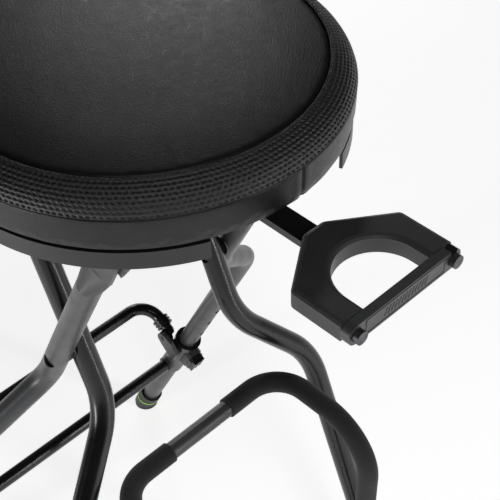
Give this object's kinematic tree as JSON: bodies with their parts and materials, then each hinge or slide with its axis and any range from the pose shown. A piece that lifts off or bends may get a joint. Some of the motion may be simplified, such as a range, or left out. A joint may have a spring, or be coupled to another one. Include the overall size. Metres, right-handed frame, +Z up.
{
  "type": "folding musician's stool",
  "caption": "Folding tall stool with a round padded seat, crossed tube legs, sliding footrest, fold-down padded cradle and a slide-out neck yoke with closing strap.",
  "frame": {"origin": "on the floor, under the middle of the stool as it stands open", "axes": "+Z up; +X from the footrest side towards the neck yoke; +Y to the sitter's left when facing +X"},
  "size_m": [0.5662, 0.3776, 0.79],
  "materials": {
    "black_gloss": "gloss black powder coat",
    "charcoal_satin": "satin charcoal powder coat",
    "fastener_steel": "blackened steel",
    "foot_rubber": "matte black rubber",
    "green_ring": "lime green rubber",
    "cover_vinyl": "fine-grained black synthetic leather",
    "border_knit": "coarse black knit",
    "cushion_foam": "upholstery foam",
    "plywood": "plywood",
    "skirt_plastic": "matte black plastic",
    "arm_steel": "gloss black",
    "yoke_plastic": "dark moulded plastic",
    "yoke_rubber": "dark grey soft rubber",
    "strap_rubber": "dark moulded rubber",
    "sleeve_foam": "closed-cell black foam",
    "block_plastic": "charcoal moulded plastic",
    "black_plastic": "black moulded plastic"
  },
  "bodies": {
    "outer_frame": {"outer_leg_left": "charcoal_satin", "outer_leg_right": "charcoal_satin", "outer_foot_left": "foot_rubber", "outer_foot_right": "foot_rubber", "outer_foot_rings": "green_ring", "pivot_bolts": "fastener_steel", "pivot_nuts": "fastener_steel", "pivot_washers": "fastener_steel", "seat_hinge_bolts": "fastener_steel", "seat_hinge_nuts": "fastener_steel"},
    "inner_frame": {"inner_leg_left": "black_gloss", "inner_leg_right": "black_gloss", "inner_top_rail": "black_gloss", "inner_lower_brace": "black_gloss", "inner_foot_left": "foot_rubber", "inner_foot_right": "foot_rubber", "inner_foot_rings": "green_ring", "cradle_ears": "charcoal_satin", "cradle_pins": "fastener_steel"},
    "seat": {"seat_foam": "cushion_foam", "top_panel": "cover_vinyl", "mesh_border": "border_knit", "side_band": "cover_vinyl", "seat_board": "plywood", "seat_skirt": "skirt_plastic", "seat_plate": "charcoal_satin", "board_screws": "fastener_steel", "hinge_bracket_left": "charcoal_satin", "hinge_bracket_right": "charcoal_satin", "rail_saddles": "skirt_plastic", "arm_guide": "skirt_plastic"},
    "hanger": {"hanger_arm": "arm_steel", "yoke_core": "yoke_plastic", "yoke_pad": "yoke_rubber", "strap_pegs": "fastener_steel"},
    "strap": {"closing_strap": "strap_rubber"},
    "cradle": {"cradle_tube": "charcoal_satin", "foam_sleeve_left": "sleeve_foam", "foam_sleeve_right": "sleeve_foam"},
    "footrest": {"slide_block_left": "block_plastic", "slide_block_right": "block_plastic", "block_collar_left": "black_plastic", "block_collar_right": "black_plastic", "footrest_bar": "black_gloss", "loop_pins": "fastener_steel"},
    "footrest_loop": {"loop_tube": "black_gloss", "loop_knuckle_left": "black_plastic", "loop_knuckle_right": "black_plastic", "ribbed_collar_left": "black_plastic", "ribbed_collar_right": "black_plastic"},
    "plunger_left": {"plunger_pin_left": "fastener_steel", "plunger_knob_left": "black_plastic"},
    "plunger_right": {"plunger_pin_right": "fastener_steel", "plunger_knob_right": "black_plastic"}
  },
  "joints": [
    {"name": "fold", "type": "hinge", "parent": "outer_frame", "child": "inner_frame", "pos_m": [-0.0062, 0, 0.518], "axis": [0, 1, 0], "range_deg": [0, 44]},
    {"name": "seat_tilt", "type": "hinge", "parent": "outer_frame", "child": "seat", "pos_m": [0.08914, 0, 0.70511], "axis": [0, 1, 0], "range_deg": [0, 117]},
    {"name": "hanger_slide", "type": "slide", "parent": "seat", "child": "hanger", "axis": [-1, 0, 0], "range_m": [0, 0.1]},
    {"name": "strap_swing", "type": "hinge", "parent": "hanger", "child": "strap", "pos_m": [0.2744, -0.049, 0.7174], "axis": [-1, 0, 0], "range_deg": [0, 105]},
    {"name": "cradle_fold", "type": "hinge", "parent": "inner_frame", "child": "cradle", "pos_m": [0.1728, 0, 0.14048], "axis": [0, 1, 0], "range_deg": [0, 95]},
    {"name": "footrest_height", "type": "slide", "parent": "outer_frame", "child": "footrest", "axis": [0.454, 0, 0.891], "range_m": [0, 0.132]},
    {"name": "footrest_loop_fold", "type": "hinge", "parent": "footrest", "child": "footrest_loop", "pos_m": [-0.18927, 0, 0.20275], "axis": [0, 1, 0], "range_deg": [0, 75]},
    {"name": "plunger_left_pull", "type": "slide", "parent": "footrest", "child": "plunger_left", "axis": [0.891, 0, -0.454], "range_m": [0, 0.008], "stiffness_N_per_m": 500, "springref_m": -0.004},
    {"name": "plunger_right_pull", "type": "slide", "parent": "footrest", "child": "plunger_right", "axis": [0.891, 0, -0.454], "range_m": [0, 0.008], "stiffness_N_per_m": 500, "springref_m": -0.004}
  ],
  "couplings": [
    {"joint": "seat_tilt", "follows": "fold", "ratio": 2.6591}
  ]
}
